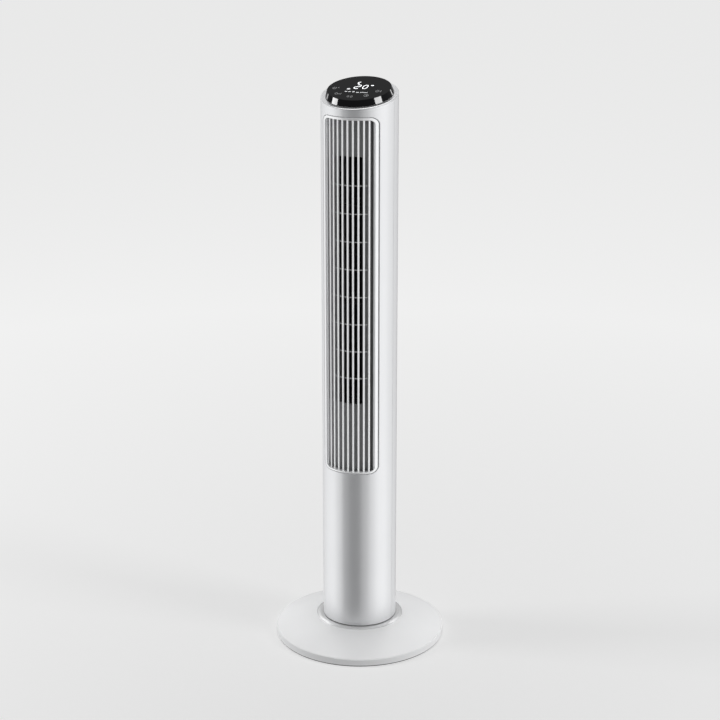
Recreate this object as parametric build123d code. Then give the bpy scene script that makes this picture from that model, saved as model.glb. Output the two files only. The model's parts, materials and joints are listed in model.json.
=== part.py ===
from build123d import *
import math
import os

# Tower fan with a swinging column and a cross-flow blower, in millimetres.
# +Z is up, -Y is the front, and the origin is the middle of the base on the floor.
# An angle round the column is counted from the front (-Y) towards +X.

# ---- Driving dimensions ---------------------------------------------------------
BASE_RADIUS = 150.0
FOOT_HEIGHT = 2.0
SKIRT_BOTTOM = 2.3
BASE_RIM_HEIGHT = 14.6        # where the upright rim turns into the dome
BASE_DOME_HEIGHT = 35.2       # where the dome meets the collar
BASE_WALL = 2.5
COLLAR_RADIUS = 76.5
COLLAR_BEVEL = 5.5
COLLAR_TOP = 36.4

COLUMN_RADIUS = 65.0
COLUMN_WALL = 2.5
COLUMN_BOTTOM = 38.0
TOP_HEIGHT = 976.9            # the top rim plane on the column's axis
TOP_TILT = 12.6               # degrees, low at the front
SEAM_ANGLE = 80.0             # the joint of the front and rear shells

GRILLE_BOTTOM = 326.5
GRILLE_TOP = 948.3
GRILLE_HALF_ANGLE = 48.0
GRILLE_CORNER = 12.0
GRILLE_TOP_BORDER = 4.6
GRILLE_BOTTOM_BORDER = 3.2
GRILLE_RECESS_MARGIN = 2.0    # between the outer slots and the side of the recess
BAR_COUNT = 9
BAR_PITCH = 8.72              # degrees
BAR_WIDTH = 3.3
BAR_FACE_RADIUS = 61.2
BAR_BACK_RADIUS = 57.0

RIB_COUNT = 8
TOP_RIB_HEIGHT = 833.5
RIB_PITCH = 47.92
RIB_THICKNESS = 1.1

PANEL_RADIUS = 50.0
WINDOW_HALF_WIDTH = 21.0
WINDOW_BOTTOM = 450.0
WINDOW_TOP = 881.0

IMPELLER_Y = 9.0              # the blower's axis lies behind the column's axis
IMPELLER_RADIUS = 36.0
SEGMENT_COUNT = 5
SEGMENT_HEIGHT = 84.6
BLADE_COUNT = 24
IMPELLER_BOTTOM = 453.0

GEAR_MODULE = 1.0
GEAR_TEETH = 60
PINION_TEETH = 12
GEAR_BOTTOM = 20.0
GEAR_WIDTH = 6.0
POST_RADIUS = 11.0
SWING_LIMIT = 40.0            # degrees to each side

LENS_TOP_RADIUS = 53.6
LENS_BOTTOM_RADIUS = 57.5
LENS_HEIGHT = 10.1
LENS_WALL = 2.5
LENS_ROUND = 0.5
TOUCH_KEYS = 5
TOUCH_KEY_RADIUS = 39.0
TOUCH_KEY_PITCH = 39.0        # degrees

# ---- Fits and small sizes -------------------------------------------------------
RUNNING_FIT = 0.06
SCREW_FIT = 0.06
SEAM_GAP = 0.4                # degrees
GRILLE_GAP = 0.4
EDGE_ROUND = 1.0
BAR_ROUND = 0.8
COLUMN_INNER = COLUMN_RADIUS - COLUMN_WALL
LIP_RADIUS = 60.2             # the inside of the lips behind the shell seams
PLATE_TOP = FOOT_HEIGHT + 2.5
LIP_BOTTOM = 0.8
SHELF_HEIGHT = 33.2           # the flat of the base cover inside the collar
TURNTABLE_TOP = COLUMN_BOTTOM + 3.0
BORE_RADIUS = 47.0            # the hole in the base cover
PINION_X = GEAR_MODULE * (GEAR_TEETH + PINION_TEETH) / 2 + 0.2
TOP_FRAME = Location((0, 0, TOP_HEIGHT), (TOP_TILT, 0, 0))
MOTOR_BOTTOM = 352.0
MOTOR_TOP = 424.0
MOTOR_RADIUS = 38.0
STATOR_BOTTOM = 374.0
STATOR_TOP = 402.0
SHAFT_RADIUS = 4.0
MOUNT_BOTTOM = 430.0
FLOOR_BOTTOM = 446.0
CEILING_BOTTOM = 883.0
SHEET = 3.0                   # the thickness of the inner decks
TALL = 1100.0                 # higher than the whole fan, for cutters


# ---- Shape helpers --------------------------------------------------------------
def at(radius, angle, height=0.0):
    """A point at an angle round the column's axis."""
    turn = math.radians(angle)
    return Vector(radius * math.sin(turn), -radius * math.cos(turn), height)


def tube(outer, inner, bottom, top, x=0.0, y=0.0):
    """A round bar, or a tube if inner is more than nothing."""
    section = Circle(outer)
    if inner:
        section = section - Circle(inner)
    return Pos(x, y, bottom) * extrude(section, top - bottom)


def block(width, depth, bottom, top, x=0.0, y=0.0):
    """An upright box, centred on x and y."""
    return Pos(x, y, (bottom + top) / 2) * Box(width, depth, top - bottom)


def sector(inner, outer, start, end, bottom, top):
    """A piece of the column's wall between two radii and two angles."""
    middle = (start + end) / 2
    outline = Curve() + [
        ThreePointArc(at(inner, start), at(inner, middle), at(inner, end)),
        Line(at(inner, end), at(outer, end)),
        ThreePointArc(at(outer, end), at(outer, middle), at(outer, start)),
        Line(at(outer, start), at(inner, start)),
    ]
    face = make_face(outline)
    if face.faces()[0].normal_at().Z < 0:
        face = -face
    return Pos(0, 0, bottom) * extrude(face, top - bottom, dir=(0, 0, 1))


def front_prism(half_width, bottom, top, corner, rear=False):
    """A bar with a rounded rectangular section that runs through the front half, or the rear half."""
    outline = RectangleRounded(2 * half_width, top - bottom, corner)
    depth = COLUMN_RADIUS + 10
    bar = extrude(Plane.XZ * outline, depth)
    if rear:
        bar = Rot(0, 0, 180) * bar
    return Pos(0, 0, (top + bottom) / 2) * bar


def radial_slot(width, angle, inner, outer, bottom, top):
    """A cutter for one slot through the column's wall."""
    length = outer - inner
    bar = Pos(0, -(inner + outer) / 2, (bottom + top) / 2) * Box(width, length, top - bottom)
    return Rot(0, 0, angle) * bar


def above_top(offset):
    """Everything above a plane that lies offset above the tilted rim."""
    size = 4 * COLUMN_RADIUS
    return TOP_FRAME * Pos(0, 0, offset + size / 2) * Box(size, size, size)


def ring_places(count, radius, start=0.0, y=0.0):
    """Points spread evenly on a circle."""
    return [at(radius, start + 360 * i / count) + Vector(0, y, 0) for i in range(count)]


def screw_up(x, y, head_bottom, head_top, tip, head_radius, shank_radius):
    """A screw driven upwards, with its head underneath."""
    head = tube(head_radius, 0, head_bottom, head_top, x, y)
    return head + tube(shank_radius, 0, head_top, tip, x, y)


def involute(angle):
    """The involute function of a pressure angle in radians."""
    return math.tan(angle) - angle


def gear_section(teeth, module, backlash, phase=0.0):
    """The outline of a spur gear with involute flanks, a tooth centred on phase (degrees from +X)."""
    pressure = math.radians(20)
    pitch = module * teeth / 2
    base = pitch * math.cos(pressure)
    root = pitch - 1.2 * module
    tip = pitch + 0.85 * module
    half_pitch = math.pi / (2 * teeth) - backlash / (2 * pitch)
    flank_steps = 4
    points = []
    for tooth in range(teeth):
        middle = math.radians(phase) + 2 * math.pi * tooth / teeth
        flank = []
        for step in range(flank_steps + 1):
            radius = root + (tip - root) * step / flank_steps
            roll = math.acos(min(1.0, base / radius))
            half = half_pitch + involute(pressure) - involute(roll)
            flank.append((radius, half))
        points += [(r * math.cos(middle - h), r * math.sin(middle - h)) for r, h in flank]
        points += [(r * math.cos(middle + h), r * math.sin(middle + h)) for r, h in reversed(flank)]
    return make_face(Polyline(*points, close=True))


def edges_at(body, radius, half_angle):
    """The edges that lie on a radius round the column's axis, within an angle of the front."""
    found = []
    for edge in body.edges():
        points = [edge @ t for t in (0, 0.5, 1)]
        on_radius = all(abs(math.hypot(p.X, p.Y) - radius) < 0.01 for p in points)
        in_front = all(abs(math.degrees(math.atan2(p.X, -p.Y))) < half_angle for p in points)
        inside = all(COLUMN_BOTTOM + 1 < p.Z < TOP_HEIGHT for p in points)
        if on_radius and in_front and inside:
            found.append(edge)
    return found


def solids_of(pieces):
    """Several separate solids as one group."""
    return Compound(children=[solid for piece in pieces for solid in piece.solids()])


# ---- Base: stands still ---------------------------------------------------------
SCREW_RING = 86.0             # the base's screws and their bosses
GLAND_WIDTH = 12.0
GLAND_TOP = 11.0
FLANGE_RADIUS = 24.0
FLANGE_TOP = 8.0


def dome_profile():
    """The section of the base cover, a thin dome with an upright rim and a flat shelf."""
    rim_bottom = (BASE_RADIUS - 0.3, SKIRT_BOTTOM)
    rim_side = (BASE_RADIUS, BASE_RIM_HEIGHT - 2.2)
    rim_corner = (BASE_RADIUS - 0.7, BASE_RIM_HEIGHT - 0.6)
    rim_top = (BASE_RADIUS - 2.4, BASE_RIM_HEIGHT)
    dome_middle = (112.0, 26.4)
    dome_top = (COLLAR_RADIUS + 0.3, BASE_DOME_HEIGHT)
    inner_top = SHELF_HEIGHT - BASE_WALL
    inner_side = BASE_RADIUS - 3.0
    return make_face(
        Curve()
        + [
            Line(rim_bottom, rim_side),
            ThreePointArc(rim_side, rim_corner, rim_top),
            ThreePointArc(rim_top, dome_middle, dome_top),
            Line(dome_top, (dome_top[0], SHELF_HEIGHT)),
            Line((dome_top[0], SHELF_HEIGHT), (BORE_RADIUS, SHELF_HEIGHT)),
            Line((BORE_RADIUS, SHELF_HEIGHT), (BORE_RADIUS, inner_top)),
            Line((BORE_RADIUS, inner_top), (dome_top[0], inner_top)),
            ThreePointArc((dome_top[0], inner_top), (110.0, 22.2), (inner_side - 1.5, 9.0)),
            Line((inner_side - 1.5, 9.0), (inner_side, 6.0)),
            Line((inner_side, 6.0), (inner_side, SKIRT_BOTTOM)),
            Line((inner_side, SKIRT_BOTTOM), rim_bottom),
        ]
    )


def base_cover():
    cover = revolve(Plane.XZ * dome_profile(), Axis.Z)
    for p in ring_places(6, SCREW_RING, 30):
        cover += tube(4.0, 1.3 + SCREW_FIT, PLATE_TOP, 29.0, p.X, p.Y)
    return cover - block(GLAND_WIDTH, 20, 0, GLAND_TOP, 0, BASE_RADIUS)


def base_plate():
    """The disc that closes the base, with a lip that shows as a dark line under the skirt."""
    plate = tube(BASE_RADIUS - 3.2, 7.0, FOOT_HEIGHT, PLATE_TOP)
    plate += tube(BASE_RADIUS - 1.0, BASE_RADIUS - 5.0, LIP_BOTTOM, FOOT_HEIGHT)
    for p in ring_places(6, SCREW_RING, 30):
        plate -= tube(1.5 + SCREW_FIT, 0, FOOT_HEIGHT - 1, PLATE_TOP + 1, p.X, p.Y)
    for p in ring_places(4, 18.0, 45):
        plate -= tube(2.0 + SCREW_FIT, 0, FOOT_HEIGHT - 1, PLATE_TOP + 1, p.X, p.Y)
    for p in ring_places(3, 116.0):
        plate -= tube(2.5 + SCREW_FIT, 0, FOOT_HEIGHT - 1, PLATE_TOP + 1, p.X, p.Y)
    return plate - block(GLAND_WIDTH, 24, 0, PLATE_TOP + 1, 0, BASE_RADIUS)


def counterweight():
    ring = tube(136.0, 96.0, PLATE_TOP, 11.5)
    for p in ring_places(3, 116.0):
        ring -= tube(2.5, 0, PLATE_TOP - 1, 10.0, p.X, p.Y)
    return ring


def counterweight_screws():
    return solids_of(
        screw_up(p.X, p.Y, 0.4, FOOT_HEIGHT, 9.6, 4.4, 2.44) for p in ring_places(3, 116.0)
    )


def rubber_feet():
    pads = []
    for p in ring_places(6, 136.0):
        pad = tube(8.0, 0, 0, FOOT_HEIGHT, p.X, p.Y)
        pads.append(chamfer(pad.edges().group_by(Axis.Z)[0], 0.6))
    return solids_of(pads)


def base_screws():
    return solids_of(
        screw_up(p.X, p.Y, 0.5, FOOT_HEIGHT, 20.0, 3.0, 1.3) for p in ring_places(6, SCREW_RING, 30)
    )


def pivot_post():
    post = tube(FLANGE_RADIUS, 7.0, PLATE_TOP, FLANGE_TOP) + tube(POST_RADIUS, 7.0, FLANGE_TOP, 61.0)
    for p in ring_places(4, 18.0, 45):
        post -= tube(1.8 + SCREW_FIT, 0, PLATE_TOP - 1, FLANGE_TOP + 1, p.X, p.Y)
    return post


def post_screws():
    return solids_of(
        screw_up(p.X, p.Y, 0.5, FOOT_HEIGHT, FLANGE_TOP, 3.6, 1.8) for p in ring_places(4, 18.0, 45)
    )


def fixed_gear():
    """The gear that the pinion rolls round, with the tab that stops the swing under it."""
    gear = Pos(0, 0, GEAR_BOTTOM) * extrude(gear_section(GEAR_TEETH, GEAR_MODULE, 0.2), GEAR_WIDTH)
    collar = tube(16.0, 0, FLANGE_TOP + 0.1, GEAR_BOTTOM)
    tab = block(6.0, 32.5, 14.0, GEAR_BOTTOM, 0, 28.25)
    return gear + collar + tab - tube(POST_RADIUS + 0.02, 0, 0, 60)


def post_washers():
    return solids_of(
        [tube(16.0, POST_RADIUS + 0.1, 26.0, 29.8), tube(17.0, POST_RADIUS + 0.1, 52.2, 53.6)]
    )


def post_nut():
    nut = Pos(0, 0, 53.6) * extrude(RegularPolygon(17.5, 6), 5.4)
    return nut - tube(POST_RADIUS + 0.02, 0, 50, 62)


def slide_ring():
    return tube(57.5, 48.5, SHELF_HEIGHT, COLUMN_BOTTOM - 0.3)


def base_collar():
    """The bevelled ring round the column's foot, with its flat running in under the column."""
    ring = tube(COLLAR_RADIUS, 59.0, SHELF_HEIGHT, COLLAR_TOP)
    outer = ring.edges().group_by(Axis.Z)[-1].sort_by(SortBy.LENGTH)[-1]
    return chamfer(outer, 1.3, COLLAR_BEVEL)


def cord_gland():
    """A bush that fills the notch in the rim, with a round way for the mains lead."""
    depth = 12.0
    front = BASE_RADIUS - depth
    width = GLAND_WIDTH - 0.2
    body = block(width, depth, FOOT_HEIGHT + 0.1, GLAND_TOP - 0.1, 0, front + depth / 2)
    body &= tube(BASE_RADIUS - 0.4, 0, 0, 20)
    flange = block(width + 5, 1.8, PLATE_TOP + 0.1, 8.6, 0, front + 5.0)
    way = Pos(0, front + depth / 2, 6.4) * Rot(90, 0, 0) * Cylinder(3.1, depth + 6)
    return body + flange - way


# ---- Column: swings on the post -------------------------------------------------
BOSS_RING = 55.0
BOSS_ANGLES = (40.0, -40.0, 140.0, -140.0)
SHELL_SCREW_ANGLE = 114.5
TAB_HALF_HEIGHT = 8.0
SHELL_SCREW_HEIGHTS = (75.0, 300.0, 620.0, 920.0)
INTAKE_HALF_ANGLE = 58.0
INTAKE_BOTTOM = 345.0
INTAKE_TOP = 905.0
INTAKE_COLUMNS = 15
INTAKE_ROWS = 9
STOP_LUG_ANGLE = SWING_LIMIT + 9.5


def shell_bosses(angles):
    """Screw bosses inside the foot of a shell."""
    bosses = Part()
    for angle in angles:
        p = at(BOSS_RING, angle)
        web = Rot(0, 0, angle) * block(3.0, COLUMN_INNER + 0.5 - BOSS_RING, TURNTABLE_TOP, 55.0, 0,
                                       -(BOSS_RING + COLUMN_INNER + 0.5) / 2)
        bosses += web + tube(4.0, 0, TURNTABLE_TOP, 55.0, p.X, p.Y)
    for angle in angles:
        p = at(BOSS_RING, angle)
        bosses -= tube(1.3 + SCREW_FIT, 0, TURNTABLE_TOP - 1, 53.0, p.X, p.Y)
    return bosses


def grille_opening(gap):
    """The rounded window of the front grille, larger by gap all round."""
    half_width = COLUMN_RADIUS * math.sin(math.radians(GRILLE_HALF_ANGLE)) + gap
    return front_prism(half_width, GRILLE_BOTTOM - gap, GRILLE_TOP + gap, GRILLE_CORNER + gap)


def intake_opening(gap):
    """The rounded window of the rear grille, larger by gap all round."""
    half_width = COLUMN_RADIUS * math.sin(math.radians(INTAKE_HALF_ANGLE)) + gap
    return front_prism(half_width, INTAKE_BOTTOM - gap, INTAKE_TOP + gap, 10.0 + gap, rear=True)


def front_shell():
    wall = sector(COLUMN_INNER, COLUMN_RADIUS, -SEAM_ANGLE, SEAM_ANGLE, COLUMN_BOTTOM, TALL)
    wall -= grille_opening(GRILLE_GAP)
    wall = fillet(edges_at(wall, COLUMN_RADIUS, 70), EDGE_ROUND)
    for side in (-1, 1):
        edges = sorted((side * (SEAM_ANGLE - 5), side * (SEAM_ANGLE - 0.2)))
        wall += sector(LIP_RADIUS, COLUMN_INNER + 0.3, *edges, TURNTABLE_TOP + 2, TALL)
        lips = sorted((side * (SEAM_ANGLE - 1), side * (SHELL_SCREW_ANGLE + 5)))
        lip = sector(LIP_RADIUS, COLUMN_INNER - 0.15, *lips, TURNTABLE_TOP + 2, TALL)
        gaps = sorted((side * (SEAM_ANGLE + 8), side * (SHELL_SCREW_ANGLE + 10)))
        below = TURNTABLE_TOP
        for height in SHELL_SCREW_HEIGHTS:
            lip -= sector(LIP_RADIUS - 2, COLUMN_RADIUS, *gaps, below, height - TAB_HALF_HEIGHT)
            lip -= radial_hole(1.3 + SCREW_FIT, side * SHELL_SCREW_ANGLE, height)
            below = height + TAB_HALF_HEIGHT
        wall += lip - sector(LIP_RADIUS - 2, COLUMN_RADIUS, *gaps, below, TALL + 10)
    return wall + shell_bosses(BOSS_ANGLES[:2]) - above_top(-3.0)


def radial_hole(radius, angle, height, inner=50.0, outer=70.0):
    """A round bar that points at the column's axis."""
    bar = Pos(0, -(inner + outer) / 2, height) * Rot(90, 0, 0) * Cylinder(radius, outer - inner)
    return Rot(0, 0, angle) * bar


def countersink(angle, height, grow):
    """The cone of a countersunk head in the column's wall."""
    depth = 1.5
    cone = Cone(1.4 + grow, 2.9 + grow, depth)
    place = Pos(0, -(COLUMN_RADIUS - 0.25 - depth / 2), height) * Rot(90, 0, 0)
    return Rot(0, 0, angle) * (place * cone)


def rear_shell():
    start = SEAM_ANGLE + SEAM_GAP
    wall = sector(COLUMN_INNER, COLUMN_RADIUS, start, 360 - start, COLUMN_BOTTOM, TALL)
    wall -= intake_opening(0.4)
    for side in (-1, 1):
        for height in SHELL_SCREW_HEIGHTS:
            angle = side * SHELL_SCREW_ANGLE
            wall -= radial_hole(1.4 + SCREW_FIT, angle, height)
            wall -= countersink(angle, height, SCREW_FIT)
            wall -= radial_hole(3.0, angle, height, COLUMN_RADIUS - 0.26, COLUMN_RADIUS + 5)
    return wall + shell_bosses(BOSS_ANGLES[2:]) - above_top(-3.0)


def shell_screws():
    screws = []
    for side in (-1, 1):
        for height in SHELL_SCREW_HEIGHTS:
            angle = side * SHELL_SCREW_ANGLE
            shank = radial_hole(1.3, angle, height, 58.5, COLUMN_RADIUS - 1.0)
            screws.append(countersink(angle, height, 0) + shank)
    return solids_of(screws)


def front_grille():
    """One moulding: a frame flush with the shell, and upright bars set back in it."""
    frame = sector(BAR_BACK_RADIUS, COLUMN_RADIUS, -GRILLE_HALF_ANGLE - 2, GRILLE_HALF_ANGLE + 2,
                   GRILLE_BOTTOM - 1, GRILLE_TOP + 1)
    frame &= grille_opening(0)
    slots_half_angle = BAR_PITCH * (BAR_COUNT + 1) / 2 - math.degrees(BAR_WIDTH / 2 / BAR_FACE_RADIUS)
    half_width = BAR_FACE_RADIUS * math.sin(math.radians(slots_half_angle))
    bottom, top = GRILLE_BOTTOM + GRILLE_BOTTOM_BORDER, GRILLE_TOP - GRILLE_TOP_BORDER
    field = front_prism(half_width + GRILLE_RECESS_MARGIN, bottom, top, GRILLE_CORNER - 4)
    frame -= field & tube(COLUMN_RADIUS + 5, BAR_FACE_RADIUS, bottom - 1, top + 1)
    frame = fillet(edges_at(frame, COLUMN_RADIUS, 90), EDGE_ROUND)
    gap = 2 * BAR_FACE_RADIUS * math.sin(math.radians(BAR_PITCH / 2)) - BAR_WIDTH
    cutters = Part()
    for i in range(BAR_COUNT + 1):
        angle = (i - BAR_COUNT / 2) * BAR_PITCH
        cutters += radial_slot(gap, angle, BAR_BACK_RADIUS - 3, COLUMN_RADIUS + 3, bottom - 1, top + 1)
    frame -= cutters & field
    slot_edges = edges_at(frame, BAR_FACE_RADIUS, slots_half_angle + 0.5)
    return fillet([e for e in slot_edges if e.length > (top - bottom) / 2], BAR_ROUND)


def finger_guard():
    """Thin level ribs behind the bars, joined by a rail behind each outer bar."""
    outer = BAR_BACK_RADIUS - 0.2
    inner = outer - 2.8
    rail_angle = BAR_PITCH * (BAR_COUNT - 1) / 2
    bottom_rib = TOP_RIB_HEIGHT - RIB_PITCH * (RIB_COUNT - 1)
    guard = Part()
    for side in (-1, 1):
        start, end = sorted((side * (rail_angle - 1.2), side * (rail_angle + 1.2)))
        guard += sector(inner, outer, start, end, bottom_rib - RIB_PITCH, TOP_RIB_HEIGHT + RIB_PITCH)
    for i in range(RIB_COUNT):
        middle = TOP_RIB_HEIGHT - i * RIB_PITCH
        guard += sector(inner, outer, -rail_angle, rail_angle,
                        middle - RIB_THICKNESS / 2, middle + RIB_THICKNESS / 2)
    return guard


def outlet_panel():
    """The curved panel behind the grille, with the blower's window and a wall all round it."""
    wall = 1.5
    inner = PANEL_RADIUS - wall
    outer = BAR_BACK_RADIUS - 0.2
    side = GRILLE_HALF_ANGLE - 1.2
    bottom, top = GRILLE_BOTTOM + 1, GRILLE_TOP - 1
    panel = sector(inner, PANEL_RADIUS, -side, side, bottom, top)
    panel += sector(inner, outer, -side, -side + 1.6, bottom, top)
    panel += sector(inner, outer, side - 1.6, side, bottom, top)
    panel += sector(inner, outer, -side, side, bottom, bottom + wall)
    panel += sector(inner, outer, -side, side, top - wall, top)
    return panel - front_prism(WINDOW_HALF_WIDTH, WINDOW_BOTTOM, WINDOW_TOP, 3.0)


def rear_grille():
    """The intake at the back: rows of upright slots."""
    frame = sector(COLUMN_INNER, COLUMN_RADIUS, 180 - INTAKE_HALF_ANGLE - 2, 180 + INTAKE_HALF_ANGLE + 2,
                   INTAKE_BOTTOM - 1, INTAKE_TOP + 1)
    frame &= intake_opening(0)
    row_height = (INTAKE_TOP - INTAKE_BOTTOM - 14) / INTAKE_ROWS
    slots = []
    for row in range(INTAKE_ROWS):
        bottom = INTAKE_BOTTOM + 9 + row * row_height
        for column in range(INTAKE_COLUMNS):
            angle = 180 + (column - (INTAKE_COLUMNS - 1) / 2) * 7.2
            slots.append(radial_slot(3.6, angle, COLUMN_INNER - 2, COLUMN_RADIUS + 2,
                                     bottom, bottom + row_height - 4))
    return frame - slots


def turntable():
    """The foot of the column: a plate and a hub that turn on the post."""
    plate = tube(59.5, 0, COLUMN_BOTTOM, TURNTABLE_TOP) + tube(17.0, 0, 30.0, 52.0)
    for side in (-1, 1):
        lug = Rot(0, 0, 180 + side * STOP_LUG_ANGLE) * block(6.0, 5.0, 16.0, COLUMN_BOTTOM + 1, 0, -42.5)
        plate += lug
    plate -= tube(POST_RADIUS + RUNNING_FIT, 0, 0, 60)
    plate -= tube(4.0, 0, 30, 50, PINION_X, 0)
    for y in (-17.5, 17.5):
        plate -= tube(1.3 + SCREW_FIT, 0, 30, 50, PINION_X, y)
    for angle in BOSS_ANGLES:
        p = at(BOSS_RING, angle)
        plate -= tube(1.5 + SCREW_FIT, 0, 30, 50, p.X, p.Y)
        plate -= Pos(p.X, p.Y, COLUMN_BOTTOM + 0.75) * Cone(3.1, 1.6, 1.5)
    return plate


def turntable_screws():
    screws = []
    for angle in BOSS_ANGLES:
        p = at(BOSS_RING, angle)
        head = Pos(p.X, p.Y, COLUMN_BOTTOM + 0.75) * Cone(3.0, 1.5, 1.5)
        screws.append(head + tube(1.3, 0, COLUMN_BOTTOM + 1.0, 52.0, p.X, p.Y))
    return solids_of(screws)


def swing_motor():
    can = tube(14.0, 0, TURNTABLE_TOP, 60.0, PINION_X, 0)
    ears = block(7.0, 42.0, TURNTABLE_TOP, TURNTABLE_TOP + 0.9, PINION_X, 0)
    plug = block(8.0, 12.0, 46.0, 56.0, PINION_X, 15.0)
    body = can + ears + plug - tube(2.5 + RUNNING_FIT, 0, 40, 51, PINION_X, 0)
    for y in (-17.5, 17.5):
        body -= tube(1.3 + SCREW_FIT, 0, 40, 45, PINION_X, y)
    return body


def swing_motor_screws():
    return solids_of(
        tube(2.6, 0, 41.9, 43.6, PINION_X, y) + tube(1.3, 0, 36.0, 41.9, PINION_X, y)
        for y in (-17.5, 17.5)
    )


def swing_pinion():
    """The motor's gear and shaft. A gap between two teeth faces the fixed gear."""
    outline = gear_section(PINION_TEETH, GEAR_MODULE, 0.2, 180 / PINION_TEETH)
    gear = Pos(PINION_X, 0, GEAR_BOTTOM - 0.5) * extrude(outline, GEAR_WIDTH + 1)
    return gear + tube(2.5, 0, GEAR_BOTTOM - 0.5, 50.5, PINION_X, 0)


# ---- Blower duct and motor ------------------------------------------------------
def deck(bottom, hole):
    """An inner deck across the column, cut back round the outlet panel and the seam lips."""
    plate = tube(COLUMN_INNER - 0.2, 0, bottom, bottom + SHEET)
    plate -= grille_opening(0.9) - tube(PANEL_RADIUS - 1.7, 0, 0, TALL)
    for side in (-1, 1):
        start, end = sorted((side * (SEAM_ANGLE - 6), side * (SEAM_ANGLE + 9)))
        plate -= sector(LIP_RADIUS - 0.3, COLUMN_RADIUS, start, end, bottom - 1, bottom + SHEET + 1)
    return plate - tube(hole, 0, bottom - 1, bottom + SHEET + 1, 0, IMPELLER_Y)


def duct_floor():
    return deck(FLOOR_BOTTOM, 9.0)


def duct_ceiling():
    plate = deck(CEILING_BOTTOM, 8.0)
    for x in (-32, 32):
        for y in (-14, 30):
            plate += tube(3.0, 1.3 + SCREW_FIT, CEILING_BOTTOM + SHEET, 903.0, x, y)
    return plate


def motor_mount():
    plate = deck(MOUNT_BOTTOM, 12.0)
    for p in ring_places(3, 26.0, 60, IMPELLER_Y):
        plate -= tube(2.0 + SCREW_FIT, 0, MOUNT_BOTTOM - 1, MOUNT_BOTTOM + SHEET + 1, p.X, p.Y)
    return plate


def curved_wall(points, thickness):
    """An upright wall between the decks that follows an arc in plan."""
    line = ThreePointArc(*points)
    face = offset(line, thickness / 2, kind=Kind.ARC)
    return Pos(0, 0, FLOOR_BOTTOM + SHEET) * extrude(make_face(face), CEILING_BOTTOM - FLOOR_BOTTOM - SHEET)


def scroll_wall():
    """The guide that leads the air round the impeller to the window."""
    return curved_wall([(-22.0, -41.6), (-45.5, -4.0), (-30.0, 40.0)], 1.6)


def duct_tongue():
    """The short wall that parts the outlet from the intake."""
    return curved_wall([(22.0, -41.6), (17.6, -35.6), (15.0, -28.5)], 1.6)


def motor_bell(bottom, top, opens_up):
    """One end cover of the motor, a cup with three ears and a pocket for the bush."""
    wall = 1.6
    cup = tube(MOTOR_RADIUS, 0, bottom, top)
    pocket_bottom = bottom + wall if opens_up else bottom - 1
    pocket_top = top + 1 if opens_up else top - wall
    cup -= tube(MOTOR_RADIUS - wall, 0, pocket_bottom, pocket_top)
    boss_bottom, boss_top = (bottom, bottom + 8) if opens_up else (top - 8, top)
    cup += tube(11.0, 0, boss_bottom, boss_top)
    cup -= tube(8.0, 0, bottom - 1, top + 1)
    ear_bottom = top - 4 if opens_up else bottom
    for p in ring_places(3, 42.5):
        ear = tube(5.6, 0, ear_bottom, ear_bottom + 4, p.X, p.Y)
        ear -= tube(MOTOR_RADIUS - wall / 2, 0, ear_bottom - 1, ear_bottom + 5)
        cup += ear - tube(1.8 + SCREW_FIT, 0, ear_bottom - 1, ear_bottom + 5, p.X, p.Y)
    return Pos(0, IMPELLER_Y, 0) * cup


def motor_lower_bell():
    return motor_bell(MOTOR_BOTTOM, STATOR_BOTTOM, True)


def motor_upper_bell():
    return motor_bell(STATOR_TOP, MOTOR_TOP, False)


def motor_bushes():
    rings = [(MOTOR_BOTTOM, MOTOR_BOTTOM + 8), (MOTOR_TOP - 8, MOTOR_TOP)]
    return solids_of(
        tube(8.0, SHAFT_RADIUS + RUNNING_FIT, low, high, 0, IMPELLER_Y) for low, high in rings
    )


def stator_stack():
    return tube(MOTOR_RADIUS + 0.5, 22.4, STATOR_BOTTOM, STATOR_TOP, 0, IMPELLER_Y)


def stator_coils():
    ends = [(STATOR_BOTTOM - 10, STATOR_BOTTOM), (STATOR_TOP, STATOR_TOP + 10)]
    rings = []
    for low, high in ends:
        ring = tube(34.0, 24.0, low, high, 0, IMPELLER_Y)
        outer = ring.edges().group_by(Axis.Z)[0 if low < STATOR_BOTTOM else -1]
        rings.append(fillet(outer, 3.0))
    return solids_of(rings)


def motor_bolts():
    bolts = []
    for p in ring_places(3, 42.5, 0, IMPELLER_Y):
        bolt = tube(1.8, 0, STATOR_BOTTOM - 8, STATOR_TOP + 4, p.X, p.Y)
        bolts.append(bolt + tube(3.4, 0, STATOR_TOP + 4, STATOR_TOP + 6.5, p.X, p.Y))
    return solids_of(bolts)


def motor_isolators():
    return solids_of(
        tube(5.0, 2.1, MOTOR_TOP, MOUNT_BOTTOM, p.X, p.Y) for p in ring_places(3, 26.0, 60, IMPELLER_Y)
    )


def upper_bush():
    return tube(7.9, 3.0 + RUNNING_FIT, CEILING_BOTTOM + 1, 893.0, 0, IMPELLER_Y)


def bush_holder():
    return tube(13.0, 7.95, CEILING_BOTTOM + SHEET, 892.0, 0, IMPELLER_Y)


# ---- Impeller: spins in the duct ------------------------------------------------
BLADE_THICKNESS = 1.0
BLADE_DEPTH = 9.0
RING_HEIGHT = 2.0


def blade_section():
    """Forward-curved blades on a circle, as one sketch."""
    middle = IMPELLER_RADIUS - BLADE_DEPTH / 2
    arc = ThreePointArc(
        (IMPELLER_RADIUS - BLADE_DEPTH, 0.0), (middle, 2.0), (IMPELLER_RADIUS - 0.8, 5.6)
    )
    blade = make_face(offset(arc, BLADE_THICKNESS / 2, kind=Kind.ARC))
    return [Rot(0, 0, 360 * i / BLADE_COUNT) * blade for i in range(BLADE_COUNT)]


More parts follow.
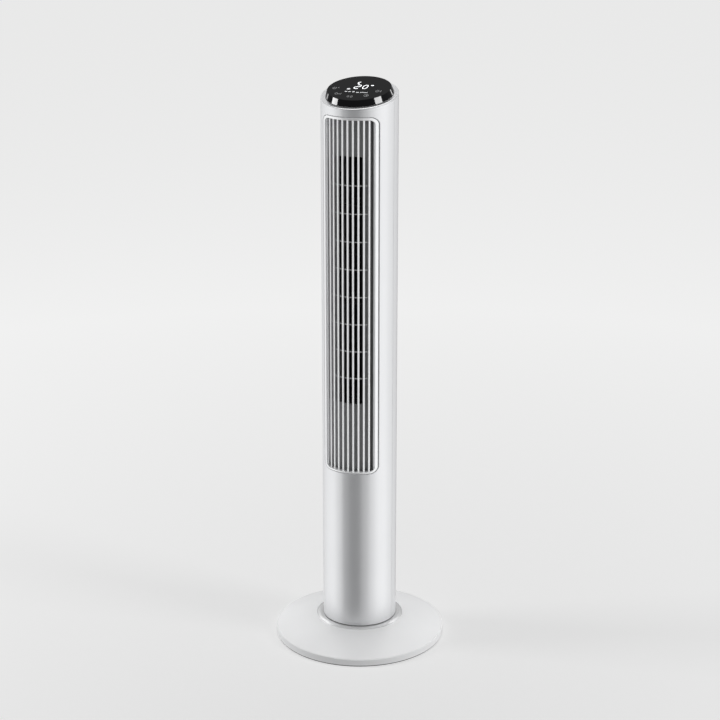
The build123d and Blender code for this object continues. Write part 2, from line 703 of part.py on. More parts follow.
def impeller_segment():
    """One moulded length of the impeller, standing on its ring, with its foot at height 0."""
    ring = tube(IMPELLER_RADIUS, IMPELLER_RADIUS - BLADE_DEPTH - 1.5, 0, RING_HEIGHT)
    height = SEGMENT_HEIGHT - RING_HEIGHT
    blades = [Pos(0, 0, RING_HEIGHT) * extrude(face, height) for face in blade_section()]
    return ring + blades


def drive_disc():
    """The closed lower end of the impeller, clamped on the motor shaft."""
    disc = tube(IMPELLER_RADIUS, 0, IMPELLER_BOTTOM - 2, IMPELLER_BOTTOM)
    hub = tube(10.0, 0, IMPELLER_BOTTOM, IMPELLER_BOTTOM + 16)
    body = disc + hub - tube(SHAFT_RADIUS + 0.02, 0, IMPELLER_BOTTOM - 3, IMPELLER_BOTTOM + 14)
    body -= Pos(7.5, 0, IMPELLER_BOTTOM + 8) * Rot(0, 90, 0) * Cylinder(1.5 + SCREW_FIT, 8.0)
    return Pos(0, IMPELLER_Y, 0) * body


def set_screw():
    screw = Pos(7.0, 0, IMPELLER_BOTTOM + 8) * Rot(0, 90, 0) * Cylinder(1.5, 5.6)
    return Pos(0, IMPELLER_Y, 0) * screw


def motor_shaft():
    return tube(SHAFT_RADIUS, 0, MOTOR_BOTTOM - 4, IMPELLER_BOTTOM + 13.5, 0, IMPELLER_Y)


def rotor_core():
    core = tube(22.0, SHAFT_RADIUS + 0.02, STATOR_BOTTOM - 2, STATOR_TOP + 2, 0, IMPELLER_Y)
    return core


def top_cap():
    """The closed upper end of the impeller with its stub shaft."""
    bottom = IMPELLER_BOTTOM + SEGMENT_COUNT * SEGMENT_HEIGHT
    disc = tube(IMPELLER_RADIUS, 0, bottom, bottom + 2, 0, IMPELLER_Y)
    boss = tube(6.0, 0, bottom + 2, bottom + 4, 0, IMPELLER_Y)
    return disc + boss + tube(3.0, 0, bottom + 4, 892.5, 0, IMPELLER_Y)


# ---- Tilted control head --------------------------------------------------------
BOARD_BOTTOM = 3.0            # heights here are above the tilted rim plane
BOARD_TOP = 4.6
CARRIER_TOP = -3.1
CARRIER_BOTTOM = -5.6
POST_RING = 42.0


def tilted_tube(outer, inner, bottom, top, x=0.0, y=0.0):
    return TOP_FRAME * tube(outer, inner, bottom, top, x, y)


def top_ring():
    """The ledge round the display: a slice of the column between two tilted planes."""
    slab = TOP_FRAME * Pos(0, 0, -1.5) * Box(300, 300, 3.0)
    ring = tube(COLUMN_RADIUS, 0, TOP_HEIGHT - 60, TOP_HEIGHT + 60) & slab
    outer = ring.edges().sort_by(Axis.Z)[-1]
    ring = fillet(outer, 2.0)
    for p in ring_places(4, 52.0, 45):
        ring -= tilted_tube(1.2, 0, -4, -1, p.X, p.Y)
    return ring - tilted_tube(49.5, 0, -5, 5)


def display_lens():
    """The glossy cap: a shallow flared cup, closed on top."""
    outer = Pos(0, 0, LENS_HEIGHT / 2) * Cone(LENS_BOTTOM_RADIUS, LENS_TOP_RADIUS, LENS_HEIGHT)
    outer = fillet(outer.edges().group_by(Axis.Z)[-1], LENS_ROUND)
    hollow = LENS_HEIGHT - LENS_WALL
    outer -= Pos(0, 0, hollow / 2) * Cone(
        LENS_BOTTOM_RADIUS - LENS_WALL, LENS_TOP_RADIUS - LENS_WALL, hollow
    )
    return TOP_FRAME * outer


def key_places():
    """The touch keys, on an arc along the front of the display."""
    return [at(TOUCH_KEY_RADIUS, (i - (TOUCH_KEYS - 1) / 2) * TOUCH_KEY_PITCH) for i in range(TOUCH_KEYS)]


def display_carrier():
    plate = tube(59.5, 0, TOP_HEIGHT - 60, TOP_HEIGHT + 60)
    middle = (CARRIER_TOP + CARRIER_BOTTOM) / 2
    plate &= TOP_FRAME * Pos(0, 0, middle) * Box(300, 300, CARRIER_TOP - CARRIER_BOTTOM)
    for p in ring_places(4, POST_RING, 45):
        plate += tilted_tube(3.0, 0, CARRIER_TOP, BOARD_BOTTOM, p.X, p.Y)
        plate -= tilted_tube(1.1 + SCREW_FIT, 0, CARRIER_TOP, BOARD_BOTTOM + 1, p.X, p.Y)
    for p in ring_places(4, 52.0, 45):
        plate -= tilted_tube(1.2 + SCREW_FIT, 0, CARRIER_BOTTOM - 1, CARRIER_TOP + 1, p.X, p.Y)
    return plate - tilted_tube(8.0, 0, CARRIER_BOTTOM - 1, CARRIER_TOP + 1)


def carrier_screws():
    return solids_of(
        tilted_tube(2.4, 0, CARRIER_BOTTOM - 1.5, CARRIER_BOTTOM, p.X, p.Y)
        + tilted_tube(1.15, 0, CARRIER_BOTTOM, -1.2, p.X, p.Y)
        for p in ring_places(4, 52.0, 45)
    )


def touch_board():
    board = tube(48.0, 0, BOARD_BOTTOM, BOARD_TOP)
    for p in ring_places(4, POST_RING, 45):
        board -= tube(1.1 + SCREW_FIT, 0, BOARD_BOTTOM - 1, BOARD_TOP + 1, p.X, p.Y)
    return TOP_FRAME * board


def board_screws():
    return solids_of(
        tilted_tube(2.0, 0, BOARD_TOP, BOARD_TOP + 1.2, p.X, p.Y)
        + tilted_tube(1.1, 0, CARRIER_TOP + 1, BOARD_TOP, p.X, p.Y)
        for p in ring_places(4, POST_RING, 45)
    )


def touch_springs():
    top = LENS_HEIGHT - LENS_WALL - 0.05
    return solids_of(tilted_tube(3.0, 2.0, BOARD_TOP, top, p.X, p.Y) for p in key_places())


def display_module():
    return TOP_FRAME * block(46.0, 24.0, BOARD_TOP, LENS_HEIGHT - LENS_WALL - 0.1, 0, 2.0)


def power_board():
    board = block(76.0, 56.0, 903.0, 904.6, 0, 8.0)
    for x in (-32, 32):
        for y in (-14, 30):
            board -= tube(1.3 + SCREW_FIT, 0, 902, 906, x, y)
    return board


def board_parts():
    """Transformer, capacitor, buzzer and plug row on the power board."""
    transformer = block(26.0, 24.0, 904.6, 924.0, -20.0, 12.0)
    capacitor = tube(6.5, 0, 904.6, 922.0, 8.0, 20.0)
    buzzer = tube(6.0, 1.2, 904.6, 911.0, 22.0, 2.0)
    plugs = block(30.0, 6.0, 904.6, 913.0, 6.0, -10.0)
    return solids_of([transformer, capacitor, buzzer, plugs])


# ---- Files ----------------------------------------------------------------------
def write(name, shape):
    shape.label = name
    export_step(shape, f"parts/{name}.step")


os.makedirs("parts", exist_ok=True)
for make in (
    base_cover, base_plate, counterweight, counterweight_screws, rubber_feet, base_screws,
    pivot_post, post_screws, fixed_gear, post_washers, post_nut, slide_ring, base_collar, cord_gland,
    front_shell, rear_shell, shell_screws, front_grille, finger_guard, outlet_panel, rear_grille,
    turntable, turntable_screws, swing_motor, swing_motor_screws, swing_pinion,
    duct_floor, duct_ceiling, scroll_wall, duct_tongue,
    motor_mount, motor_lower_bell, motor_upper_bell, motor_bushes, stator_stack, stator_coils,
    motor_bolts, motor_isolators, upper_bush, bush_holder,
    drive_disc, set_screw, motor_shaft, rotor_core, top_cap,
    top_ring, display_lens, display_carrier, carrier_screws, touch_board, board_screws,
    touch_springs, display_module, power_board, board_parts,
):
    write(make.__name__, make())

segment = impeller_segment()
for number in range(SEGMENT_COUNT):
    height = IMPELLER_BOTTOM + number * SEGMENT_HEIGHT
    write(f"impeller_segment_{number + 1}", Pos(0, IMPELLER_Y, height) * segment)
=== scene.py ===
import bpy
import bmesh
import json
import math
from mathutils import Matrix, Vector

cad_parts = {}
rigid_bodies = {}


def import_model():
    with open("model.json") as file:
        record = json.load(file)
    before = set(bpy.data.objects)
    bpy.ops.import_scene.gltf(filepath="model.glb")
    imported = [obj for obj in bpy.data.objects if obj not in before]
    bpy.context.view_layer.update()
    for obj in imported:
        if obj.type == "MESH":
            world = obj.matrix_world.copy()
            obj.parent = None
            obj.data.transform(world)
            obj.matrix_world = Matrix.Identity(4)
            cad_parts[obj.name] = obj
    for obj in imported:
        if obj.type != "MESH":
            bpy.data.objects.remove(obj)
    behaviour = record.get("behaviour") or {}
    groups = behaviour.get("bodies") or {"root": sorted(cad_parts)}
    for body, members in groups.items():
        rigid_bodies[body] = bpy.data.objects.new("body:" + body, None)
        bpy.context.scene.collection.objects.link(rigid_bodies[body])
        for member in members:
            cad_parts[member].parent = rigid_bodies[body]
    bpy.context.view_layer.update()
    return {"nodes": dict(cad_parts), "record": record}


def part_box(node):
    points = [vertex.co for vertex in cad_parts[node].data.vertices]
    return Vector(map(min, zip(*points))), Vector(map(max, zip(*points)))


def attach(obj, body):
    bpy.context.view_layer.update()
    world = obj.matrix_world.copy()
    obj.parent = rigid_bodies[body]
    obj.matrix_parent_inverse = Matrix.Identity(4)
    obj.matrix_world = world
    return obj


# Tower fan: materials, finer visible pieces, floor, lights and camera. Metres, +Z up, -Y front.
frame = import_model()
scene = bpy.context.scene
MM = 0.001


# ---- Camera ---------------------------------------------------------------------
CAMERA_AZIMUTH = 19.4         # degrees from the fan's front towards +X
CAMERA_ELEVATION = 18.07
CAMERA_DISTANCE = 3.186
CAMERA_AIM_HEIGHT = 0.5136
CAMERA_LENS = 91.96
CAMERA_SHIFT = 0.0005


def around(azimuth, elevation, distance, height=0.0):
    """A point round the column's axis, its azimuth counted from the front towards +X."""
    a, e = math.radians(azimuth), math.radians(elevation)
    flat = distance * math.cos(e)
    return Vector((flat * math.sin(a), -flat * math.cos(a), height + distance * math.sin(e)))


def make_camera():
    data = bpy.data.cameras.new("camera")
    data.lens = CAMERA_LENS
    data.shift_x = CAMERA_SHIFT
    camera = bpy.data.objects.new("camera", data)
    scene.collection.objects.link(camera)
    camera.location = around(CAMERA_AZIMUTH, CAMERA_ELEVATION, CAMERA_DISTANCE, CAMERA_AIM_HEIGHT)
    towards = Vector((0, 0, CAMERA_AIM_HEIGHT)) - camera.location
    camera.rotation_mode = "QUATERNION"
    camera.rotation_quaternion = towards.to_track_quat("-Z", "Y")
    scene.camera = camera


make_camera()


# ---- Floor and lights -----------------------------------------------------------
# The pieces that each group of lights reaches.
FAN_ONLY = bpy.data.collections.new("fan_only")
LENS_ONLY = bpy.data.collections.new("lens_only")
FLOOR_ONLY = bpy.data.collections.new("floor_only")
BACK_LIT = bpy.data.collections.new("back_lit")
LEDGE_ONLY = bpy.data.collections.new("ledge_only")
GRILLE_ONLY = bpy.data.collections.new("grille_only")

FLOOR_HALF_WIDTH = 40.0
FLOOR_ALBEDO = 0.60
FLOOR_GLOW = 0.66
PAINTED_SHADE_DISTANCE = 0.45          # the middle of the painted shade, a dim pool on the floor, from the column towards the camera
PAINTED_SHADE_RADIUS = 2.5
WORLD_COLOR = (0.985, 0.99, 1.0, 1)
WORLD_STRENGTH = 0.26

# The tall panels round the fan: azimuth from the camera in degrees, and radiance.
PANEL_STEP = 22.0             # degrees
PANEL_DISTANCE = 2.4
PANEL_TALL = 4.6
PANEL_HEIGHT = -0.1           # of its middle
PANELS = (
    (16, 0.30), (38, 0.66), (60, 0.92), (82, 0.94), (104, 0.74), (126, 0.60), (148, 0.48),
    (-44, 0.16), (-66, 0.66), (-88, 0.92), (-110, 0.86), (-132, 0.72), (-154, 0.54),
)

# Other upright lights: name, azimuth from the camera, distance, height, width, tall, radiance, receivers.
# The four on the lens show as bright shapes on its black wall.
SOFTBOXES = (
    ("floor_left", -92, 2.6, 2.2, 0.8, 1.8, 5.6, FLOOR_ONLY),
    ("floor_right", 66, 2.6, 2.2, 0.8, 1.8, 4.6, FLOOR_ONLY),
    ("lens_left", -89.9, 2.0, 1.11, 0.82, 1.2, 38.0, LENS_ONLY),
    ("lens_right", 61.2, 2.0, 1.42, 0.92, 1.2, 44.0, LENS_ONLY),
    ("lens_far_left", -136.7, 2.0, 0.97, 0.30, 0.6, 3.8, LENS_ONLY),
    ("lens_far_right", 132.5, 2.0, 1.23, 0.25, 0.6, 8.0, LENS_ONLY),
)

# Overhead lights behind the fan: name, elevation, distance, size, radiance, receivers.
HIGH_LIGHTS = (
    ("top_fan", 88, 3.2, 3.0, 1.3, FAN_ONLY),
    ("back_high", 60, 2.8, 2.6, 1.2, BACK_LIT),
    ("back_ledge", 60, 2.8, 2.6, 0.5, LEDGE_ONLY),
)


def floor_paper():
    """Pale paper that glows a little, less in a wide pool of painted shade round the fan."""
    material = bpy.data.materials.new("floor_paper")
    material.use_nodes = True
    tree = material.node_tree
    shader = tree.nodes["Principled BSDF"]
    shader.inputs["Base Color"].default_value = (FLOOR_ALBEDO, FLOOR_ALBEDO, FLOOR_ALBEDO, 1)
    shader.inputs["Roughness"].default_value = 0.9
    shader.inputs["Specular IOR Level"].default_value = 0.0
    shader.inputs["Emission Strength"].default_value = FLOOR_GLOW
    # Painted shade: the glow dims to 70 per cent in a wide pool round the fan, centred a little towards the
    # camera.
    place = tree.nodes.new("ShaderNodeTexCoord")
    mapping = tree.nodes.new("ShaderNodeMapping")
    mapping.vector_type = "TEXTURE"
    mapping.inputs["Location"].default_value = around(CAMERA_AZIMUTH, 0, PAINTED_SHADE_DISTANCE)
    mapping.inputs["Scale"].default_value = (PAINTED_SHADE_RADIUS, PAINTED_SHADE_RADIUS, PAINTED_SHADE_RADIUS)
    painted_shade_gradient = tree.nodes.new("ShaderNodeTexGradient")
    painted_shade_gradient.gradient_type = "SPHERICAL"
    tree.links.new(place.outputs["Object"], mapping.inputs["Vector"])
    tree.links.new(mapping.outputs["Vector"], painted_shade_gradient.inputs["Vector"])
    shade = tree.nodes.new("ShaderNodeMix")
    shade.data_type = "RGBA"
    shade.inputs["A"].default_value = (1.0, 1.0, 0.995, 1)
    shade.inputs["B"].default_value = (0.70, 0.70, 0.698, 1)
    tree.links.new(painted_shade_gradient.outputs["Fac"], shade.inputs["Factor"])
    tree.links.new(shade.outputs["Result"], shader.inputs["Emission Color"])
    return material


def make_floor():
    """A plain pale floor that the fan's pieces neither mirror nor take light from."""
    mesh = bpy.data.meshes.new("floor")
    size = FLOOR_HALF_WIDTH
    corners = [(-size, -size, 0), (size, -size, 0), (size, size, 0), (-size, size, 0)]
    mesh.from_pydata(corners, [], [(0, 1, 2, 3)])
    mesh.materials.append(floor_paper())
    floor = bpy.data.objects.new("floor", mesh)
    scene.collection.objects.link(floor)
    floor.visible_glossy = False
    floor.visible_diffuse = False
    floor.visible_shadow = False
    FLOOR_ONLY.objects.link(floor)


def make_light(name, location, towards, width, tall, radiance, receivers):
    """A rectangular soft light that lights only its receivers."""
    data = bpy.data.lights.new(name, "AREA")
    data.shape = "RECTANGLE"
    data.size = width
    data.size_y = tall
    data.energy = math.pi * width * tall * radiance
    light = bpy.data.objects.new(name, data)
    scene.collection.objects.link(light)
    light.location = location
    light.rotation_mode = "QUATERNION"
    light.rotation_quaternion = towards.to_track_quat("-Z", "Y")
    light.light_linking.receiver_collection = receivers
    return light


def make_softbox(name, azimuth, distance, height, width, tall, radiance, receivers):
    """An upright light that faces the column's axis. Its azimuth is counted from the camera."""
    offset = around(CAMERA_AZIMUTH + azimuth, 0, distance)
    location = offset + Vector((0, 0, height))
    return make_light(name, location, -offset, width, tall, radiance, receivers)


def make_high_light(name, elevation, distance, size, radiance, receivers):
    """A square light behind and above the fan, as the camera sees it, that faces the fan's foot."""
    location = around(CAMERA_AZIMUTH + 180, elevation, distance)
    make_light(name, location, -location, size, size, radiance, receivers)


def make_lights():
    width = 2 * PANEL_DISTANCE * math.tan(math.radians(PANEL_STEP / 2))
    for azimuth, radiance in PANELS:
        name = f"panel_{azimuth}"
        make_softbox(name, azimuth, PANEL_DISTANCE, PANEL_HEIGHT, width, PANEL_TALL, radiance, FAN_ONLY)
    for softbox in SOFTBOXES:
        make_softbox(*softbox)
    for high_light in HIGH_LIGHTS:
        make_high_light(*high_light)
    # This one gives no reflection, so it lifts the pale faces of the bars more than the silver frame.
    fill = make_softbox("grille_front", 20, PANEL_DISTANCE, PANEL_HEIGHT, 3.0, PANEL_TALL, 0.85, GRILLE_ONLY)
    fill.visible_glossy = False


def make_world():
    world = bpy.data.worlds.new("studio")
    world.use_nodes = True
    background = world.node_tree.nodes["Background"]
    background.inputs["Color"].default_value = WORLD_COLOR
    background.inputs["Strength"].default_value = WORLD_STRENGTH
    scene.world = world


make_floor()
make_lights()
make_world()
scene.view_settings.view_transform = "Standard"


# ---- Materials ------------------------------------------------------------------
# Noise: features per metre, and octaves.
BLOTCH = (9.0, 4.0)
SMEAR = (34.0, 5.0)
GRAIN_OCTAVES = 2.0

# The grille's metallic share by depth, between these two radii from the column's axis: painted shade on the
# bars' flanks, a painted highlight on their faces, and the frame's own silver.
BAR_FACE = 0.0612
GRILLE_DEPTH = (BAR_FACE - 0.0020, BAR_FACE + 0.0020)
# Painted shade on the bars' flanks and a painted highlight on their faces; the frame keeps its own silver
# share.
FLANK_PAINTED_SHADE_SHARE = 0.85
FACE_PAINTED_HIGHLIGHT_SHARE = 0.12
FRAME_SHARE = 0.80


def coordinates(tree, scale):
    """Object coordinates in metres, each axis stretched by its own scale."""
    place = tree.nodes.new("ShaderNodeTexCoord")
    mapping = tree.nodes.new("ShaderNodeMapping")
    mapping.inputs["Scale"].default_value = scale
    tree.links.new(place.outputs["Object"], mapping.inputs["Vector"])
    return mapping.outputs["Vector"]


def noise(tree, scale, detail, stretch):
    node = tree.nodes.new("ShaderNodeTexNoise")
    node.inputs["Scale"].default_value = scale
    node.inputs["Detail"].default_value = detail
    tree.links.new(coordinates(tree, stretch), node.inputs["Vector"])
    return node.outputs["Fac"]


def remap(tree, value, low, high):
    node = tree.nodes.new("ShaderNodeMapRange")
    node.inputs["To Min"].default_value = low
    node.inputs["To Max"].default_value = high
    tree.links.new(value, node.inputs["Value"])
    return node.outputs["Result"]


def surface(name, color, roughness, metallic=0.0, tone=0.03, rough_range=0.04, grain=2500.0,
            grain_depth=0.00001, specular=0.5, stretch=(1, 1, 1)):
    """A moulded, painted or metal surface: a little uneven in tone and gloss, with a fine grain."""
    material = bpy.data.materials.new(name)
    material.use_nodes = True
    tree = material.node_tree
    shader = tree.nodes["Principled BSDF"]
    shader.inputs["Metallic"].default_value = metallic
    shader.inputs["Specular IOR Level"].default_value = specular
    blotch = noise(tree, *BLOTCH, stretch)
    mix = tree.nodes.new("ShaderNodeMix")
    mix.data_type = "RGBA"
    mix.inputs["A"].default_value = (*[c * (1 - tone) for c in color], 1)
    mix.inputs["B"].default_value = (*[min(1.0, c * (1 + tone)) for c in color], 1)
    tree.links.new(blotch, mix.inputs["Factor"])
    tree.links.new(mix.outputs["Result"], shader.inputs["Base Color"])
    smear = remap(tree, noise(tree, *SMEAR, stretch), roughness - rough_range, roughness + rough_range)
    tree.links.new(smear, shader.inputs["Roughness"])
    if grain_depth:
        bump = tree.nodes.new("ShaderNodeBump")
        bump.inputs["Strength"].default_value = 1.0
        bump.inputs["Distance"].default_value = grain_depth
        tree.links.new(noise(tree, grain, GRAIN_OCTAVES, stretch), bump.inputs["Height"])
        tree.links.new(bump.outputs["Normal"], shader.inputs["Normal"])
    return material


def grille_surface():
    """The grille is one silver paint. Its metallic share changes with depth: it is high on the bars' flanks
    as painted shade, low on the bars' faces so they look nearly white as a painted highlight, and silver on
    the frame.
    """
    material = surface("satin_silver_grille", (0.88, 0.885, 0.89), 0.30)
    tree = material.node_tree
    distance = tree.nodes.new("ShaderNodeVectorMath")
    distance.operation = "LENGTH"
    tree.links.new(coordinates(tree, (1, 1, 0)), distance.inputs[0])
    depth = tree.nodes.new("ShaderNodeMapRange")
    depth.inputs["From Min"].default_value = GRILLE_DEPTH[0]
    depth.inputs["From Max"].default_value = GRILLE_DEPTH[1]
    tree.links.new(distance.outputs["Value"], depth.inputs["Value"])
    share = tree.nodes.new("ShaderNodeValToRGB")
    stops = share.color_ramp.elements
    stops.remove(stops[1])
    stops[0].color = (FLANK_PAINTED_SHADE_SHARE, FLANK_PAINTED_SHADE_SHARE, FLANK_PAINTED_SHADE_SHARE, 1)
    for position, value in ((0.28, FLANK_PAINTED_SHADE_SHARE), (0.42, FACE_PAINTED_HIGHLIGHT_SHARE), (0.70, FACE_PAINTED_HIGHLIGHT_SHARE), (0.95, FRAME_SHARE)):
        stops.new(position).color = (value, value, value, 1)
    tree.links.new(depth.outputs["Result"], share.inputs["Fac"])
    tree.links.new(share.outputs["Color"], tree.nodes["Principled BSDF"].inputs["Metallic"])
    return material


# By material slot, and by node where a node differs from its slot.
MATERIALS = {
    "silver_shell": surface("satin_silver_paint", (0.78, 0.785, 0.795), 0.30, 0.80),
    "front_grille": grille_surface(),
    "base_collar": surface("satin_collar", (0.80, 0.803, 0.806), 0.24, 0.45),
    "silver_trim": surface("satin_silver_trim", (0.74, 0.745, 0.755), 0.26, 0.85),
    "base_white": surface("semi_gloss_white", (0.84, 0.843, 0.846), 0.30),
    # The panel behind the bars is white plastic; its dark grey is painted shade for the recess it sits in.
    "guard_grey": surface("grey_panel_painted_shade", (0.25, 0.252, 0.256), 0.5),
    "rib_grey": surface("mid_grey_moulding", (0.60, 0.60, 0.605), 0.45),
    "black_gloss": surface("polished_black", (0.0015, 0.0015, 0.0018), 0.05,
                           rough_range=0.01, grain_depth=0, specular=0.18),
    "black_plastic": surface("black_moulding", (0.012, 0.012, 0.013), 0.5),
    "white_nylon": surface("natural_acetal", (0.80, 0.78, 0.72), 0.42),
    "steel": surface("zinc_plate", (0.60, 0.60, 0.61), 0.30, 1.0),
    "dark_iron": surface("cast_iron", (0.07, 0.07, 0.07), 0.7, 0.6, grain=900.0, grain_depth=0.0001),
    "lamination": surface("laminations", (0.30, 0.30, 0.31), 0.42, 1.0,
                          grain=700.0, grain_depth=0.0001, stretch=(0.05, 0.05, 6)),
    "copper": surface("varnished_copper", (0.68, 0.30, 0.13), 0.32, 1.0,
                      grain=600.0, grain_depth=0.0002, stretch=(1, 1, 0.2)),
    "bronze": surface("sintered_bronze", (0.55, 0.38, 0.19), 0.5, 1.0),
    "rubber": surface("moulded_rubber", (0.02, 0.02, 0.02), 0.75),
    "board_green": surface("solder_mask", (0.02, 0.12, 0.05), 0.35),
}


def dress_cad_nodes():
    """Gives every CAD node its own material, or else its slot's."""
    slots = {row["node"]: row["material_slot"] for row in frame["record"]["subparts"]}
    for name, node in frame["nodes"].items():
        node.data.materials.clear()
        node.data.materials.append(MATERIALS.get(name, MATERIALS[slots[name]]))


# ---- Display lens and its marks -------------------------------------------------
MARK_HEIGHT = 0.00006         # how far the lit marks stand proud of the lens
MARK_DEPTH = 0.0004           # how far they go into it

# Pens: stroke widths in millimetres, across the lens and along it.
CRESCENT_PEN = (1.5, 2.3)
DIGIT_PEN = (1.3, 2.0)
DEGREE_PEN = (2.0, 2.8)
MODE_PEN = (2.0, 4.8)
ICON_PEN = (2.0, 2.2)
DASH_PEN = (2.0, 2.0)
RING_PEN = (1.1, 1.6)
KEY_PEN = (0.9, 1.6)
DOT_PEN = (1.4, 2.2)

low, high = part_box("display_lens")
LENS_BOTTOM_RADIUS = high[0]
LENS_TILT = math.acos(high[1] / high[0])
LENS_PLANE = low[2] + LENS_BOTTOM_RADIUS * math.sin(LENS_TILT)
LENS_HEIGHT = 0.0101          # along the lens's own axis
LENS_FRAME = Matrix.Translation((0, 0, LENS_PLANE)) @ Matrix.Rotation(LENS_TILT, 4, "X")


def finish_marks(name, bm, material):
    """Makes a piece of the column from marks drawn in the lens's own frame."""
    bmesh.ops.recalc_face_normals(bm, faces=bm.faces)
    mesh = bpy.data.meshes.new(name)
    bm.to_mesh(mesh)
    bm.free()
    mesh.transform(LENS_FRAME)
    mesh.materials.append(material)
    marks = bpy.data.objects.new(name, mesh)
    scene.collection.objects.link(marks)
    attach(marks, "column")


def rounded(points, closed):
    """A path with its corners cut, each a quarter of the way along its two sides."""
    ends = points[1:] + points[:1] if closed else points[1:]
    cut = []
    for (ax, ay), (bx, by) in zip(points, ends):
        cut.append((ax * 0.75 + bx * 0.25, ay * 0.75 + by * 0.25))
        cut.append((ax * 0.25 + bx * 0.75, ay * 0.25 + by * 0.75))
    return cut if closed else [points[0]] + cut[1:-1] + [points[-1]]


def ribbon(bm, points, pen, closed=False, soften=True):
    """One stroke of a mark: a flat ribbon. Points and pens are in millimetres on the lens's face."""
    across, along = pen
    if soften and len(points) > 2:
        points = rounded(points, closed)
    count = len(points)
    rails = []
    for i, (x, y) in enumerate(points):
        before = points[i - 1] if closed or i else points[i]
        after = points[(i + 1) % count] if closed or i < count - 1 else points[i]
        run = Vector((after[0] - before[0], after[1] - before[1])).normalized()
        side = Vector((-run.y * across / 2, run.x * along / 2))
        rail = []
        for sign in (1, -1):
            for height in (LENS_HEIGHT + MARK_HEIGHT, LENS_HEIGHT - MARK_DEPTH):
                rail.append(bm.verts.new(((x + sign * side.x) * MM, (y + sign * side.y) * MM, height)))
        rails.append((rail[0], rail[1], rail[3], rail[2]))
    for i in range(count if closed else count - 1):
        a, b = rails[i], rails[(i + 1) % count]
        for k in range(4):
            bm.faces.new((a[k], a[(k + 1) % 4], b[(k + 1) % 4], b[k]))
    if not closed:
        bm.faces.new(rails[0])
        bm.faces.new(rails[-1])


def ring_points(x, y, width, tall, start=0, end=360, count=20):
    """Points round an ellipse, from one angle to another."""
    full = end - start >= 360
    steps = count if full else count - 1
    turns = [math.radians(start + (end - start) * i / steps) for i in range(count)]
    return [(x + width / 2 * math.cos(t), y + tall / 2 * math.sin(t)) for t in turns]


def lamp(name, color, strength):
    """A lit mark: a white diffuser with a faint unevenness."""
    material = surface(name, color, 0.4, tone=0.02, grain_depth=0)
    shader = material.node_tree.nodes["Principled BSDF"]
    shader.inputs["Emission Color"].default_value = (0.93, 0.97, 1.0, 1)
    shader.inputs["Emission Strength"].default_value = strength
    return material


def make_readout():
    """A crescent over the two digits, the digits and the degree mark."""
    bm = bmesh.new()
    ribbon(bm, [(-5.4, 26.0), (-7.8, 24.6), (-9.0, 21.8), (-8.0, 18.4), (-5.0, 16.6)], CRESCENT_PEN)
    two = [(-6.2, 12.9), (0.6, 12.4), (-0.2, 5.2), (-8.8, 4.6), (-9.4, -2.8), (-1.4, -3.2)]
    ribbon(bm, two, DIGIT_PEN)
    ribbon(bm, [(5.4, 13.8), (12.9, 13.2), (11.8, -2.0), (4.8, -1.4)], DIGIT_PEN, closed=True)
    ribbon(bm, [(16.4, 13.6), (20.8, 13.9)], DEGREE_PEN)
    finish_marks("display_readout", bm, lamp("lit_digits", (0.6, 0.6, 0.6), 0.95))


def make_status_icons():
    """The small marks beside and below the digits."""
    bm = bmesh.new()
    ribbon(bm, [(-19.0, -6.3), (-14.0, -5.9)], MODE_PEN)
    ribbon(bm, [(-19.4, -16.6), (-15.4, -17.8)], ICON_PEN)
    ribbon(bm, [(-12.6, -18.4), (-9.2, -16.6)], ICON_PEN)
    ribbon(bm, ring_points(-4.2, -16.8, 2.6, 3.2), RING_PEN, closed=True, soften=False)
    ribbon(bm, [(1.0, -18.8), (5.6, -19.0)], DASH_PEN)
    for i in range(5):
        ribbon(bm, [(7.6 + 2.7 * i, -18.0 + 0.15 * i), (9.5 + 2.7 * i, -17.9 + 0.15 * i)], ICON_PEN)
    finish_marks("display_icons", bm, lamp("lit_icons", (0.4, 0.4, 0.4), 0.5))


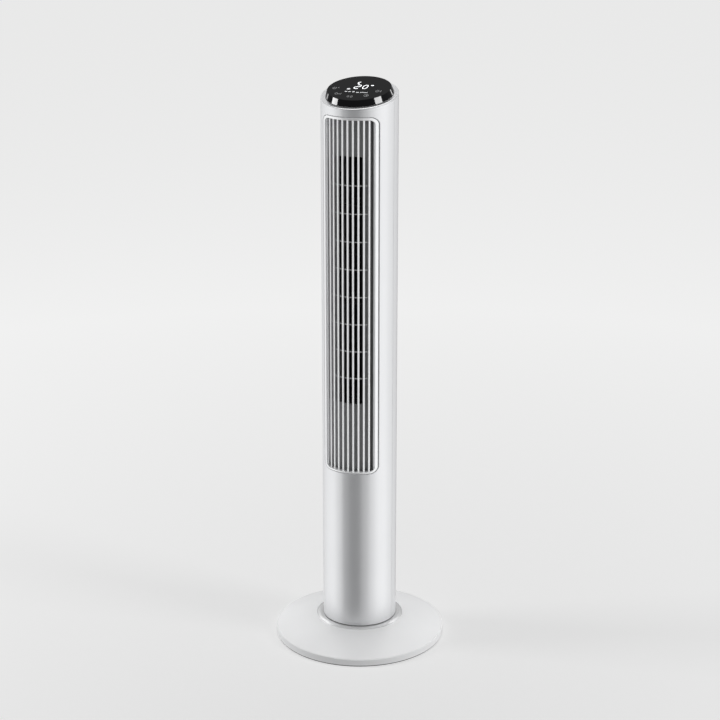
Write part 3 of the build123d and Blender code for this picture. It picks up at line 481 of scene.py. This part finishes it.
def make_touch_marks():
    """The five dim marks over the touch keys."""
    bm = bmesh.new()
    # Power: a broken ring and a bar.
    ribbon(bm, ring_points(-41.0, -5.8, 6.0, 8.0, -240, 60), KEY_PEN)
    ribbon(bm, [(-41.0, -2.6), (-41.0, -6.4)], KEY_PEN)
    ribbon(bm, [(-36.0, -3.6), (-33.6, -3.2)], DOT_PEN)
    # Speed: a ring and three bars that grow.
    ribbon(bm, ring_points(-30.2, -28.4, 4.6, 6.4), KEY_PEN, closed=True, soften=False)
    for i in range(3):
        ribbon(bm, [(-26.2 + 2.0 * i, -31.2), (-26.2 + 2.0 * i, -28.2 + 1.6 * i)], KEY_PEN)
    # Swing: two brackets and two bars.
    ribbon(bm, ring_points(-2.6, -37.6, 11.0, 9.0, 130, 230, 8), KEY_PEN)
    ribbon(bm, ring_points(-4.8, -37.6, 11.0, 9.0, -50, 50, 8), KEY_PEN)
    ribbon(bm, [(-5.2, -34.6), (-5.2, -40.6)], KEY_PEN)
    ribbon(bm, [(-2.2, -34.6), (-2.2, -40.6)], KEY_PEN)
    # Timer: a ring with two hands.
    ribbon(bm, ring_points(22.0, -29.2, 7.4, 8.6), KEY_PEN, closed=True, soften=False)
    ribbon(bm, [(22.0, -26.4), (22.0, -29.4), (24.2, -30.6)], KEY_PEN, soften=False)
    # Mode: a ring with two dots beside it.
    ribbon(bm, ring_points(34.6, -8.4, 5.4, 7.0), KEY_PEN, closed=True, soften=False)
    ribbon(bm, [(39.4, -6.2), (41.2, -6.0)], DOT_PEN)
    ribbon(bm, [(39.6, -10.4), (41.4, -10.2)], DOT_PEN)
    finish_marks("touch_marks", bm, lamp("dim_touch_marks", (0.10, 0.10, 0.10), 0.11))


def link_receivers():
    """Puts every mesh of the fan in the groups of the lights that reach it."""
    for item in scene.objects:
        if item.type != "MESH" or item.name == "floor":
            continue
        if item.name.startswith(("display_lens", "display_readout", "display_icons", "touch_marks")):
            LENS_ONLY.objects.link(item)
        else:
            FAN_ONLY.objects.link(item)
    for name in ("base_cover", "base_collar"):
        BACK_LIT.objects.link(frame["nodes"][name])
    LEDGE_ONLY.objects.link(frame["nodes"]["top_ring"])
    GRILLE_ONLY.objects.link(frame["nodes"]["front_grille"])


dress_cad_nodes()
make_readout()
make_status_icons()
make_touch_marks()
link_receivers()
